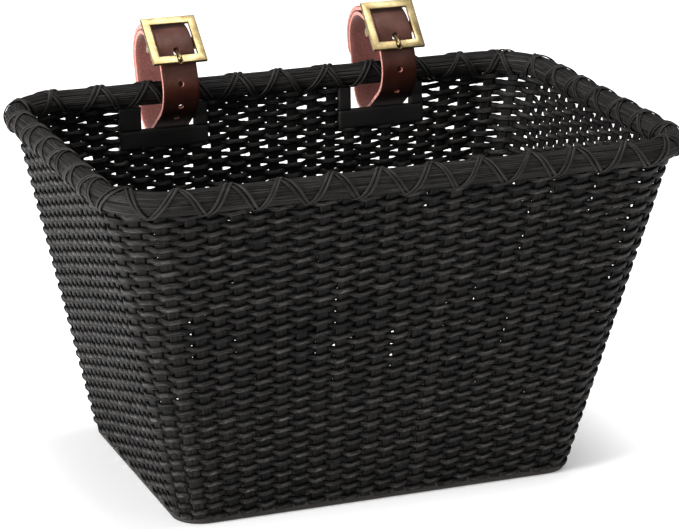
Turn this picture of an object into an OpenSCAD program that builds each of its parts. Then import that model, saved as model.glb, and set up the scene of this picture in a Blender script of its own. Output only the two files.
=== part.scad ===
// Handlebar basket: a tapered, hand-woven rattan basket that hangs from a
// handlebar by two buckled leather straps.
// Origin: middle of the base board's underside. +Z up, front at -Y, straps at the back (+Y).

/* [Basket] */
// Half length of the rim's centreline, left to right
rim_half_x = 175.5; // [160:0.5:190]
// Distance from the base's middle forward to the rim's centreline
rim_front = 138.5; // [125:0.5:150]
// Distance from the base's middle back to the rim's centreline
rim_back = 98.5; // [94:0.5:104]
// Height of the rim's centreline above the ground
rim_z = 213; // [208:1:220]
// Radius of the rim bundle
rim_r = 7.2; // [6.8:0.1:8]
// Corner radius of the rim's centreline
rim_corner = 34; // [26:1:42]
// Half length of the wall's middle surface at the base
base_half_x = 125.5; // [115:0.5:135]
// Half depth of the wall's middle surface at the base
base_half_y = 89.5; // [80:0.5:94]
// Corner radius of the wall's middle surface at the base
base_corner = 16; // [12:1:24]

/* [Weave] */
// Thickness of the woven wall
wall_t = 5; // [4.4:0.1:5.4]
// Width of a flat stake
stake_w = 7; // [5:0.5:8]
// Thickness of a flat stake
stake_t = 1.7; // [1.2:0.1:2]
// Stakes in the flat part of the front, and of the back
stakes_long = 21; // [17:2:23]
// Stakes in the flat part of each side
stakes_short = 13; // [9:2:15]
// Thickness of the base board
board_t = 6.5; // [5:0.5:9]

/* [Strap slots] */
// Distance of each slot's middle from the basket's middle
slot_x = 73.4; // [68:0.2:80]
// Width of a slot
slot_w = 41; // [38:0.5:44]
// Height of the slot's lower edge
slot_z = 190.4; // [186:0.2:190.4]
// Height of the slot's bottom plate
plate_h = 12; // [8:0.5:16]
// Width of the slots' side bands
band_w = 8.5; // [6:0.5:10]
// Width of the left slot's outer band
wide_band_w = 14.5; // [10:0.5:15]

/* [Straps] */
// Strap width
strap_w = 23.5; // [20:0.5:24]
// Leather thickness
strap_t = 2.8; // [2.2:0.1:3]
// Distance of each strap's middle from the basket's middle, left then right
strap_x = [-65.4, 81.4];
// Handlebar diameter that the loops are shaped for
bar_d = 31.8; // [30:0.1:31.8]
// Handlebar axis behind the base's middle
bar_y = 125; // [124:0.5:127]
// Handlebar axis above the ground
bar_z = 228.5; // [228:0.1:229]
// Tilt of each buckle from the horizontal, left then right
buckle_tilt = [41, 47];
// Free end beyond the handlebar's arc, left then right
tail_run = [24, 3];

/* [Buckles] */
// Outside width of the square frame
buckle_w = 35.5; // [35:0.1:36.5]
// Outside height of the frame
buckle_h = 35.3; // [35:0.1:36.5]
// Thickness of the frame
buckle_t = 2.2; // [1.8:0.1:2.6]
// Centre bar diameter
pin_d = 3; // [2.6:0.1:3.2]

/* [Hidden] */
$fn = 64;

// Shared fits
gap = 0.3;
running = 0.06;
bore_gap = 0.04;
// Widest step of a strap's bend, in degrees, and what is left on it to bore the handlebar's seat
bend_step = 5;
bore_spare = 0.2;

// Walls: everything between the base board and the rim follows the wall's middle surface
wall_z0 = board_t + 0.6;
wall_z1 = rim_z - rim_r - 0.4;
stake_z0 = board_t - 3;
stake_z1 = rim_z - rim_r + 3.2;
wall_seam = 0.15;
function mix(a, b, t) = a + (b - a) * t;
function wall_x(z) = mix(base_half_x, rim_half_x, z / rim_z);
function wall_front(z) = -mix(base_half_y, rim_front, z / rim_z);
function wall_back(z) = mix(base_half_y, rim_back, z / rim_z);
function wall_r(z) = mix(base_corner, rim_corner, z / rim_z);

// Wall frames: side 0 front, 1 back, 2 left, 3 right.
// A point on the middle surface, from -1 to 1 across the flat part.
function flat_x(z) = wall_x(z) - wall_r(z);
function flat_y0(z) = wall_front(z) + wall_r(z);
function flat_y1(z) = wall_back(z) - wall_r(z);
function wall_point(side, t, z) =
    side == 0 ? [t * flat_x(z), wall_front(z), z] :
    side == 1 ? [t * flat_x(z), wall_back(z), z] :
    side == 2 ? [-wall_x(z), mix(flat_y0(z), flat_y1(z), (t + 1) / 2), z] :
    [wall_x(z), mix(flat_y0(z), flat_y1(z), (t + 1) / 2), z];

// Corner 0 front left, 1 front right, 2 back left, 3 back right
corner_sx = [-1, 1, -1, 1];
corner_sy = [-1, -1, 1, 1];
function corner_centre(c, z) = [
    corner_sx[c] * flat_x(z),
    c < 2 ? flat_y0(z) : flat_y1(z),
    z
];
function corner_point(c, a, z) = corner_centre(c, z)
    + wall_r(z) * [corner_sx[c] * cos(a), corner_sy[c] * sin(a), 0];
corner_stake_angles = [18, 45, 72];

rattan = [0.13, 0.11, 0.10];
cane = [0.19, 0.17, 0.16];
leather = [0.27, 0.15, 0.10];
brass = [0.70, 0.60, 0.36];

// A flat bar from p to q whose thin direction leans as near as it can to the direction "out"
module lath(p, q, out, w, t) {
    d = q - p;
    len = norm(d);
    k = d / len;
    side_raw = cross(out, k);
    i = side_raw / norm(side_raw);
    j = cross(k, i);
    multmatrix([
        [i[0], j[0], k[0], p[0]],
        [i[1], j[1], k[1], p[1]],
        [i[2], j[2], k[2], p[2]],
        [0, 0, 0, 1]
    ])
        translate([-w / 2, -t / 2, 0])
            cube([w, t, len]);
}

// Stakes -----------------------------------------------------------------

side_out = [[0, -1, 0], [0, 1, 0], [-1, 0, 0], [1, 0, 0]];

function stake_at(i, n) = -1 + (2 * i + 1) / n;

// Height where a back stake ends: under the plate at the slots, in the rim elsewhere
slot_reach = slot_w / 2 + band_w + stake_w / 2;
function at_slot(x) = abs(abs(x) - slot_x) < slot_reach;
function stake_top(side, t) =
    side == 1 && at_slot(t * flat_x(slot_z - plate_h)) ? slot_z - plate_h - 0.4 : stake_z1;

module side_stakes(side, n) {
    for (i = [0 : n - 1])
        let (t = stake_at(i, n), top = stake_top(side, t))
            lath(wall_point(side, t, stake_z0), wall_point(side, t, top),
                side_out[side], stake_w, stake_t);
}

module corner_stakes_at(c) {
    for (a = corner_stake_angles)
        lath(corner_point(c, a, stake_z0), corner_point(c, a, stake_z1),
            [corner_sx[c] * cos(a), corner_sy[c] * sin(a), 0], stake_w, stake_t);
}

module all_stakes() {
    side_stakes(0, stakes_long);
    side_stakes(1, stakes_long);
    side_stakes(2, stakes_short);
    side_stakes(3, stakes_short);
    for (c = [0 : 3])
        corner_stakes_at(c);
}

// Woven walls ------------------------------------------------------------

// A flat wall in its own slanted plane, from the basket's middle plane to both corners
module wall_slab(side, z0, z1) {
    p = wall_point(side, 0, z0);
    q = wall_point(side, 0, z1);
    a0 = wall_point(side, -1, z0);
    b0 = wall_point(side, 1, z0);
    a1 = wall_point(side, -1, z1);
    b1 = wall_point(side, 1, z1);
    along = side < 2 ? [1, 0, 0] : [0, 1, 0];
    rise = side < 2 ? [0, q[1] - p[1], z1 - z0] : [q[0] - p[0], 0, z1 - z0];
    len = norm(rise);
    k = rise / len;
    j = cross(k, along);
    origin = side < 2 ? [0, p[1], z0] : [p[0], 0, z0];
    multmatrix([
        [along[0], k[0], j[0], origin[0]],
        [along[1], k[1], j[1], origin[1]],
        [along[2], k[2], j[2], origin[2]],
        [0, 0, 0, 1]
    ])
        translate([0, 0, -wall_t / 2])
            linear_extrude(wall_t)
                polygon([
                    [a0 * along, 0],
                    [b0 * along, 0],
                    [b1 * along, len],
                    [a1 * along, len]
                ]);
}

module side_weave(side, n) {
    color(rattan)
        difference() {
            wall_slab(side, wall_z0, wall_z1);
            side_stakes(side, n);
        }
}

// Part of the back wall between two distances from the middle plane
module back_weave_part(x0, x1, z0, z1) {
    color(rattan)
        difference() {
            intersection() {
                wall_slab(1, z0, z1);
                translate([x0, 0, 0])
                    cube([x1 - x0, 2 * rim_back, rim_z]);
            }
            side_stakes(1, stakes_long);
        }
}

// Disc of the corner's cone at one height
module corner_disc(c, z, dr) {
    translate(corner_centre(c, z))
        cylinder(r = wall_r(z) + dr, h = 0.01, $fn = 72);
}

module corner_cone(c, dr, z0, z1) {
    hull() {
        corner_disc(c, z0, dr);
        corner_disc(c, z1, dr);
    }
}

// The quarter of space outside both flats of a corner
module corner_quarter(c) {
    reach = 2 * rim_corner;
    hull()
        for (z = [0, rim_z])
            translate(corner_centre(c, z)
                + [corner_sx[c] * (reach / 2 + wall_seam), corner_sy[c] * (reach / 2 + wall_seam), 0])
                cube([reach, reach, 0.01], center = true);
}

module corner_weave(c) {
    color(rattan)
        difference() {
            intersection() {
                difference() {
                    corner_cone(c, wall_t / 2, wall_z0, wall_z1);
                    corner_cone(c, -wall_t / 2, wall_z0 - 1, wall_z1 + 1);
                }
                corner_quarter(c);
            }
            corner_stakes_at(c);
        }
}

module front_weave() { side_weave(0, stakes_long); }
module left_weave() { side_weave(2, stakes_short); }
module right_weave() { side_weave(3, stakes_short); }

slot_frame_half = slot_w / 2 + band_w;
plate_z0 = slot_z - plate_h;
module back_weave_lower() { back_weave_part(-rim_half_x, rim_half_x, wall_z0, plate_z0); }
module back_weave_middle() {
    half = slot_x - slot_frame_half;
    back_weave_part(-half, half, plate_z0, wall_z1);
}
module back_weave_left() {
    back_weave_part(-rim_half_x, -slot_x - slot_frame_half, plate_z0, wall_z1);
}
module back_weave_right() {
    back_weave_part(slot_x + slot_frame_half, rim_half_x, plate_z0, wall_z1);
}
module front_left_corner_weave() { corner_weave(0); }
module front_right_corner_weave() { corner_weave(1); }
module back_left_corner_weave() { corner_weave(2); }
module back_right_corner_weave() { corner_weave(3); }

module front_stakes() { color(cane) side_stakes(0, stakes_long); }
module back_stakes() { color(cane) side_stakes(1, stakes_long); }
module left_stakes() { color(cane) side_stakes(2, stakes_short); }
module right_stakes() { color(cane) side_stakes(3, stakes_short); }
module corner_stakes() {
    color(cane)
        for (c = [0 : 3])
            corner_stakes_at(c);
}

// Base board: the stakes stand in blind slots in its top
board_edge = wall_t / 2;
module base_board() {
    half_x = base_half_x + board_edge;
    half_y = base_half_y + board_edge;
    r = base_corner + board_edge;
    color(rattan)
        difference() {
            union() {
                translate([-half_x + r, -half_y, 0])
                    cube([2 * (half_x - r), 2 * half_y, board_t]);
                translate([-half_x, -half_y + r, 0])
                    cube([2 * half_x, 2 * (half_y - r), board_t]);
                for (sx = [-1, 1], sy = [-1, 1])
                    translate([sx * (half_x - r), sy * (half_y - r), 0])
                        cylinder(r = r, h = board_t);
            }
            all_stakes();
        }
}

// Rim --------------------------------------------------------------------

rim_y_mid = (rim_back - rim_front) / 2;
rim_half_y = (rim_back + rim_front) / 2;
rim_run_x = rim_half_x - rim_corner;
rim_run_y = rim_half_y - rim_corner;

// Sweeps the 2D children (x outward, y up) round the rim's centreline
module round_rim() {
    translate([0, rim_y_mid, rim_z]) {
        for (s = [-1, 1]) {
            translate([-rim_run_x, s * rim_half_y, 0])
                rotate([90, 0, 90])
                    linear_extrude(2 * rim_run_x)
                        scale([s, 1])
                            children();
            translate([s * rim_half_x, rim_run_y, 0])
                rotate([90, 0, 0])
                    linear_extrude(2 * rim_run_y)
                        scale([s, 1])
                            children();
        }
        for (k = [0 : 3])
            let (a = 90 * k, sx = k == 0 || k == 3 ? 1 : -1, sy = k < 2 ? 1 : -1)
                translate([sx * rim_run_x, sy * rim_run_y, 0])
                    rotate([0, 0, a])
                        rotate_extrude(angle = 90)
                            translate([rim_corner, 0])
                                children();
    }
}

core_r = 3.2;
module rim_core() {
    color(cane)
        round_rim()
            circle(r = core_r);
}
// The stakes' tops stand in blind pockets in the rim
module rim_bundle() {
    color(rattan)
        difference() {
            round_rim()
                difference() {
                    circle(r = rim_r);
                    circle(r = core_r + bore_gap);
                }
            all_stakes();
        }
}

lash_t = 0.9;
lash_w = 5;
lash_pitch = 27;
module lash_ring() {
    difference() {
        cylinder(r = rim_r + lash_t, h = lash_w, center = true);
        cylinder(r = rim_r + bore_gap, h = lash_w + 1, center = true);
    }
}
module rim_lashing() {
    nx = floor(2 * rim_run_x / lash_pitch);
    ny = floor(2 * rim_run_y / lash_pitch);
    // the turns stop at the wall, which stands under the rim
    color(cane)
        difference() {
            translate([0, rim_y_mid, rim_z])
                for (s = [-1, 1]) {
                    for (i = [0 : nx - 1])
                        translate([(i - (nx - 1) / 2) * lash_pitch, s * rim_half_y, 0])
                            rotate([0, 90, 0])
                                lash_ring();
                    for (i = [0 : ny - 1])
                        translate([s * rim_half_x, (i - (ny - 1) / 2) * lash_pitch, 0])
                            rotate([90, 0, 0])
                                lash_ring();
                }
            round_rim()
                translate([-wall_t, -rim_r - 3])
                    square([2 * wall_t, 4]);
        }
}

// Strap slots ------------------------------------------------------------

frame_t = wall_t + 1;
back_lean = atan2(rim_back - base_half_y, rim_z);
module in_back_wall(z) {
    translate([0, wall_back(z), z])
        rotate([-back_lean, 0, 0])
            children();
}
module slot_plate(s) {
    w = slot_w + 2 * band_w;
    color(rattan)
        in_back_wall(plate_z0)
            translate([s * slot_x - w / 2, -frame_t / 2, 0])
                cube([w, frame_t, plate_h]);
}
module slot_bands(s) {
    color(rattan)
        in_back_wall(slot_z)
            for (k = [-1, 1])
                let (w = s < 0 && k < 0 ? wide_band_w : band_w)
                    translate([
                        s * slot_x + k * (slot_frame_half - w / 2) - w / 2,
                        -frame_t / 2,
                        gap / 3
                    ])
                        cube([w, frame_t, wall_z1 - slot_z - gap / 2]);
}
module left_slot_plate() { slot_plate(-1); }
module left_slot_bands() { slot_bands(-1); }
module right_slot_plate() { slot_plate(1); }
module right_slot_bands() { slot_bands(1); }

// Straps -----------------------------------------------------------------
// A strap's side view, in (y, z), is a belt that turns clockwise round a list
// of rounds [y, z, middle radius]: the buckle's centre bar, the handlebar, the
// sling's lowest bend, the bend in front of the rim, the buckle and the
// handlebar again as the tail.

layer = strap_t + 0.4;
bar_mid_r = bar_d / 2 + strap_t / 2;
// Bends measured from the rim's centreline: [behind, above, middle radius]
sling_bend = [20.1, -14.4, 15];
front_bend = [5.6, 2.8, 20];
crown_r = 24.6;
crown_y = [113.8, 114.3];
crown_z = [226.8, 226.4];
fold_mid_r = pin_d / 2 + running + strap_t / 2;
// Distance from the crown's centre to the centre bar: the fold lies under the band
pin_reach = crown_r - strap_t / 2 - gap - fold_mid_r - strap_t / 2;

function unit(a) = [cos(a), sin(a)];
function crown_centre(k) = [crown_y[k], crown_z[k]];
function pin_centre(k) = crown_centre(k) + pin_reach * unit(90 + buckle_tilt[k]);

function rounds(k) = [
    [pin_centre(k)[0], pin_centre(k)[1], fold_mid_r],
    [bar_y, bar_z, bar_mid_r],
    [rim_back, rim_z, 0] + sling_bend,
    [rim_back, rim_z, 0] + front_bend,
    [crown_y[k], crown_z[k], crown_r],
    [bar_y, bar_z, bar_mid_r + layer]
];

// Heading of the straight from round a to round b, turning clockwise round both
function heading(a, b) =
    let (d = [b[0] - a[0], b[1] - a[1]])
        atan2(d[1], d[0]) + asin((b[2] - a[2]) / norm(d));
// Where a belt with heading h leaves round a, middle line
function leave(a, h) = [a[0], a[1]] + a[2] * unit(h + 90);
function turn(h0, h1) = h0 - h1 < 0 ? h0 - h1 + 360 : h0 - h1;

lap_run = 9;
lap_close = 12;
lap_heading = [for (k = [0, 1]) heading(rounds(k)[0], rounds(k)[1]) + 180 + lap_close];

// Stations of the middle line: [point, heading, spare thickness on the inside].
// This is a clockwise arc round r.
function arc_stations(r, h0, h1, spare = 0) =
    let (n = ceil(turn(h0, h1) / bend_step))
        [for (j = [0 : n]) let (h = h0 - turn(h0, h1) * j / n) [leave(r, h), h, spare]];
// The whole middle line, from the lap's end to the free end
function strap_stations(k) =
    let (
        r = rounds(k),
        n = len(r),
        h = [for (i = [0 : n - 2]) heading(r[i], r[i + 1])],
        lap = lap_heading[k],
        tail = h[1]
    )
        concat(
            [[leave(r[0], lap) - lap_run * unit(lap), lap, 0]],
            arc_stations(r[0], lap, h[0]),
            arc_stations(r[1], h[0], h[1], bore_spare),
            [for (i = [2 : n - 2]) each arc_stations(r[i], h[i - 1], h[i])],
            arc_stations(r[n - 1], h[n - 2], tail),
            [[leave(r[n - 1], tail) + (tail_run[k] + strap_w / 2) * unit(tail), tail, 0]]
        );

// The strap's side view: both faces, half a thickness off the middle line
module strap_outline(k) {
    s = strap_stations(k);
    n = len(s);
    polygon([
        for (i = [0 : n - 1]) s[i][0] + strap_t / 2 * unit(s[i][1] + 90),
        for (i = [n - 1 : -1 : 0]) s[i][0] - (strap_t / 2 + s[i][2]) * unit(s[i][1] + 90)
    ]);
}
// Leaves the free end round
module tail_trim(k) {
    h = heading(rounds(k)[1], rounds(k)[2]);
    p = leave(rounds(k)[5], h) + tail_run[k] * unit(h);
    translate([0, p[0], p[1]])
        rotate([h, 0, 0])
            linear_extrude(2 * strap_t, center = true)
                difference() {
                    translate([-strap_w, 0])
                        square([2 * strap_w, strap_w]);
                    circle(d = strap_w + 0.8);
                }
}
// A punched hole through the band at p on its middle line
module punch(p, h, d) {
    translate([0, p[0], p[1]])
        rotate([h, 0, 0])
            cylinder(d = d, h = 3 * strap_t, center = true);
}

hole_d = 3.6;
// Adjustment holes: headings where they sit on the front bend, left then right
hole_at = [[76, 117], [86, 131]];
// and the left strap's third one, this far before the bend
low_hole_run = 3.5;
slot_open_w = 4.4;
prong_slot_from = 3.2;
prong_slot_to = 12;

module strap(k) {
    r = rounds(k);
    low = heading(r[2], r[3]);
    color(leather)
        translate([strap_x[k], 0, 0])
            difference() {
                rotate([90, 0, 90])
                    linear_extrude(strap_w, center = true)
                        strap_outline(k);
                // the handlebar's seat
                translate([0, bar_y, bar_z])
                    rotate([0, 90, 0])
                        cylinder(d = bar_d, h = strap_w + 2, center = true, $fn = 128);
                tail_trim(k);
                // adjustment holes in the front run
                for (h = hole_at[k])
                    punch(leave(r[3], h), h, hole_d);
                if (k == 0)
                    punch(leave(r[3], low) - low_hole_run * unit(low), low, hole_d);
                // the prong's slots in the fold and in the band over it
                buckle_space(k)
                    rotate([0, 90, 0])
                        cylinder(r = fold_mid_r + strap_t, h = slot_open_w, center = true);
                buckle_space(k)
                    translate([-slot_open_w / 2, -prong_slot_to, fold_mid_r - 1.5])
                        cube([slot_open_w, prong_slot_to - prong_slot_from, 3 * strap_t]);
                rivet_hole(k);
            }
}

// Rivet through the lap
rivet_d = 3;
rivet_back = 6.2;
function rivet_at(k) =
    let (h = heading(rounds(k)[0], rounds(k)[1]))
        leave(rounds(k)[0], h) + rivet_back * unit(h);
// Through both layers of the lap, to just under the inner face
grip = 2 * fold_mid_r + strap_t / 2;
module rivet_hole(k) {
    translate([0, rivet_at(k)[0], rivet_at(k)[1]])
        rotate([heading(rounds(k)[0], rounds(k)[1]), 0, 0])
            translate([0, 0, -grip - 1])
                cylinder(d = rivet_d + 2 * bore_gap, h = grip + strap_t / 2 + 1.5);
}
module strap_rivet(k) {
    h = heading(rounds(k)[0], rounds(k)[1]);
    color(brass)
        translate([strap_x[k], rivet_at(k)[0], rivet_at(k)[1]])
            rotate([h, 0, 0]) {
                translate([0, 0, -grip])
                    cylinder(d = rivet_d, h = grip + strap_t / 2 + 0.05);
                translate([0, 0, strap_t / 2 + 0.05])
                    cylinder(d = 6, h = 0.6);
            }
}

// Buckles ----------------------------------------------------------------
// Local frame: X along the centre bar, Y up the buckle's slope, Z out from the strap

frame_out = 5.6;
window_w = 25;
window_y0 = -11.9;
window_y1 = 12.4;
lug_w = 3.6;
lug_r = 2.8;
prong_d = 2.2;
prong_w = 3;
tip_y = -14.2;
prong_angle = 32.8;

module buckle_space(k) {
    translate([0, pin_centre(k)[0], pin_centre(k)[1]])
        rotate([buckle_tilt[k], 0, 0])
            children();
}

module at_buckle(k) {
    translate([strap_x[k], 0, 0])
        buckle_space(k)
            children();
}

module buckle_frame(k) {
    color(brass)
        at_buckle(k)
            difference() {
                union() {
                    difference() {
                        translate([-buckle_w / 2, -buckle_h / 2, frame_out])
                            cube([buckle_w, buckle_h, buckle_t]);
                        translate([-window_w / 2, window_y0, frame_out - 1])
                            cube([window_w, window_y1 - window_y0, buckle_t + 2]);
                    }
                    for (s = [-1, 1])
                        translate([s * (window_w + lug_w) / 2, 0, 0]) {
                            rotate([0, 90, 0])
                                cylinder(r = lug_r, h = lug_w, center = true);
                            translate([-lug_w / 2, -lug_r, 0])
                                cube([lug_w, 2 * lug_r, frame_out + 0.5]);
                        }
                }
                // seats for the centre bar, and the rest for the prong's tip
                rotate([0, 90, 0])
                    cylinder(d = pin_d + 2 * bore_gap, h = buckle_w + 2, center = true);
                translate([-prong_w / 2 - 0.2, -buckle_h / 2 - 1, frame_out + buckle_t - 1.6])
                    cube([prong_w + 0.4, buckle_h / 2 + 1 + window_y0 + 1, 2]);
            }
}

module buckle_bar(k) {
    color(brass)
        at_buckle(k)
            rotate([0, 90, 0])
                cylinder(d = pin_d, h = window_w + 2 * lug_w, center = true);
}

module buckle_prong(k) {
    color(brass)
        at_buckle(k)
            difference() {
                union() {
                    rotate([0, 90, 0])
                        cylinder(r = pin_d / 2 + 1.5, h = prong_w, center = true);
                    rotate([-prong_angle, 0, 0])
                        rotate([90, 0, 0])
                            cylinder(d = prong_d, h = -tip_y / cos(prong_angle));
                }
                rotate([0, 90, 0])
                    cylinder(d = pin_d + 2 * running, h = prong_w + 2, center = true);
            }
}

module left_strap() { strap(0); }
module left_strap_rivet() { strap_rivet(0); }
module left_buckle_frame() { buckle_frame(0); }
module left_buckle_bar() { buckle_bar(0); }
module left_buckle_prong() { buckle_prong(0); }
module right_strap() { strap(1); }
module right_strap_rivet() { strap_rivet(1); }
module right_buckle_frame() { buckle_frame(1); }
module right_buckle_bar() { buckle_bar(1); }
module right_buckle_prong() { buckle_prong(1); }

base_board();
front_weave();
left_weave();
right_weave();
back_weave_lower();
back_weave_middle();
back_weave_left();
back_weave_right();
front_left_corner_weave();
front_right_corner_weave();
back_left_corner_weave();
back_right_corner_weave();
front_stakes();
back_stakes();
left_stakes();
right_stakes();
corner_stakes();
rim_core();
rim_bundle();
rim_lashing();
left_slot_plate();
left_slot_bands();
right_slot_plate();
right_slot_bands();
left_strap();
left_strap_rivet();
left_buckle_frame();
left_buckle_bar();
left_buckle_prong();
right_strap();
right_strap_rivet();
right_buckle_frame();
right_buckle_bar();
right_buckle_prong();
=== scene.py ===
import math

import bmesh
import bpy
import numpy as np
from mathutils import Matrix, Vector


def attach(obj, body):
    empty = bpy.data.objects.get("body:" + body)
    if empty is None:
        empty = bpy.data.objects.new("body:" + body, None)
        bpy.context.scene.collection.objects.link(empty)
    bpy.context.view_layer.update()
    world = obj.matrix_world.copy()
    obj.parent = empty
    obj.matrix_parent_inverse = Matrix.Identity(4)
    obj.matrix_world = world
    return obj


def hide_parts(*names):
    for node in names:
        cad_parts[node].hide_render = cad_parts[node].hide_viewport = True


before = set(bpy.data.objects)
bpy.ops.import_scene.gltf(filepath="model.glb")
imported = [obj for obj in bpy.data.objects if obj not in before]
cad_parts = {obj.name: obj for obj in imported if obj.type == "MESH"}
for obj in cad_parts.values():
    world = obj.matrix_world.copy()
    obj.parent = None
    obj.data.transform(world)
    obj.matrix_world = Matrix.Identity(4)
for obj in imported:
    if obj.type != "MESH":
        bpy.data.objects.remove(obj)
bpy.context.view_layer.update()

MM = 0.001
rng = np.random.default_rng(256)

# Basket, in millimetres in the row frame: origin under the base board's middle
RIM_X, RIM_FRONT, RIM_BACK, RIM_Z = 175.5, 138.5, 98.5, 213.0
RIM_R, RIM_CORNER = 7.2, 34.0
BASE_X, BASE_Y, BASE_CORNER = 125.5, 89.5, 16.0
BOARD_T = 6.5
STAKE_W, STAKE_T = 7.0, 1.7
STAKES_LONG, STAKES_SHORT = 21, 13
STAKE_TOP = RIM_Z - RIM_R + 3.2
SLOT_X, SLOT_W, SLOT_Z = 73.4, 41.0, 190.4
PLATE_H, BAND_W, WIDE_BAND_W, FRAME_T = 12.0, 8.5, 14.5, 6.0
FRAME_HALF = SLOT_W / 2 + BAND_W
PLATE_Z = SLOT_Z - PLATE_H

# Weavers
ROWS, ROW_PITCH, ROW_FIRST = 53, 3.83, 4.9
REED_W, REED_T = 3.75, 1.5
REED_OUT = STAKE_T / 2 + REED_T / 2 + 0.15
REED_TILT, REED_TILT_LOOSE = 0.50, 0.20
# Added to a reed's width factor round the corners
CORNER_SWELL = 0.10
STEPS = 8


# ---------------------------------------------------------------- walls

def mix(a, b, t):
    return a + (b - a) * t


def wall_x(z):
    return mix(BASE_X, RIM_X, z / RIM_Z)


def wall_front(z):
    return -mix(BASE_Y, RIM_FRONT, z / RIM_Z)


def wall_back(z):
    return mix(BASE_Y, RIM_BACK, z / RIM_Z)


def wall_r(z):
    return mix(BASE_CORNER, RIM_CORNER, z / RIM_Z)


def loop_knots(half_x, y0, y1, r):
    """Path length at the ends of the flats and corners, front left first, anticlockwise from above."""
    flat_x, flat_y, bend = 2 * (half_x - r), y1 - y0 - 2 * r, r * math.pi / 2
    return np.cumsum([0, flat_x, bend, flat_y, bend, flat_x, bend, flat_y, bend])


def loop_point(g, half_x, y0, y1, r):
    """x, y and outward x, y on a rounded rectangle.

    g runs 0 to 8: front, corner, right, corner, back, corner, left, corner.
    """
    g = np.mod(g, 8.0)
    side = np.minimum(g.astype(int), 7)
    f = g - side
    cx = half_x - r
    cy0, cy1 = y0 + r, y1 - r
    a = np.radians(f * 90)
    x = np.zeros_like(g)
    y = np.zeros_like(g)
    nx = np.zeros_like(g)
    ny = np.zeros_like(g)
    runs = [
        (0, lambda: (mix(-cx, cx, f), y0 + 0 * f, 0 * f, -1 + 0 * f)),
        (2, lambda: (half_x + 0 * f, mix(cy0, cy1, f), 1 + 0 * f, 0 * f)),
        (4, lambda: (mix(cx, -cx, f), y1 + 0 * f, 0 * f, 1 + 0 * f)),
        (6, lambda: (-half_x + 0 * f, mix(cy1, cy0, f), -1 + 0 * f, 0 * f)),
        (1, lambda: (cx + r * np.sin(a), cy0 - r * np.cos(a), np.sin(a), -np.cos(a))),
        (3, lambda: (cx + r * np.cos(a), cy1 + r * np.sin(a), np.cos(a), np.sin(a))),
        (5, lambda: (-cx - r * np.sin(a), cy1 + r * np.cos(a), -np.sin(a), np.cos(a))),
        (7, lambda: (-cx - r * np.cos(a), cy0 - r * np.sin(a), -np.cos(a), -np.sin(a))),
    ]
    for k, run in runs:
        m = side == k
        px, py, ox, oy = run()
        x[m], y[m], nx[m], ny[m] = px[m], py[m], ox[m], oy[m]
    return x, y, nx, ny


def wall_shape(z):
    return wall_x(z), wall_front(z), wall_back(z), wall_r(z)


CORNER_STAKES = [0.2, 0.5, 0.8]
STAKE_G = np.array(
    [(i + 0.5) / STAKES_LONG for i in range(STAKES_LONG)]
    + [1 + c for c in CORNER_STAKES]
    + [2 + (i + 0.5) / STAKES_SHORT for i in range(STAKES_SHORT)]
    + [3 + c for c in CORNER_STAKES]
    + [4 + (i + 0.5) / STAKES_LONG for i in range(STAKES_LONG)]
    + [5 + c for c in CORNER_STAKES]
    + [6 + (i + 0.5) / STAKES_SHORT for i in range(STAKES_SHORT)]
    + [7 + c for c in CORNER_STAKES]
)
STAKES = len(STAKE_G)


# ---------------------------------------------------------------- meshes

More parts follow.
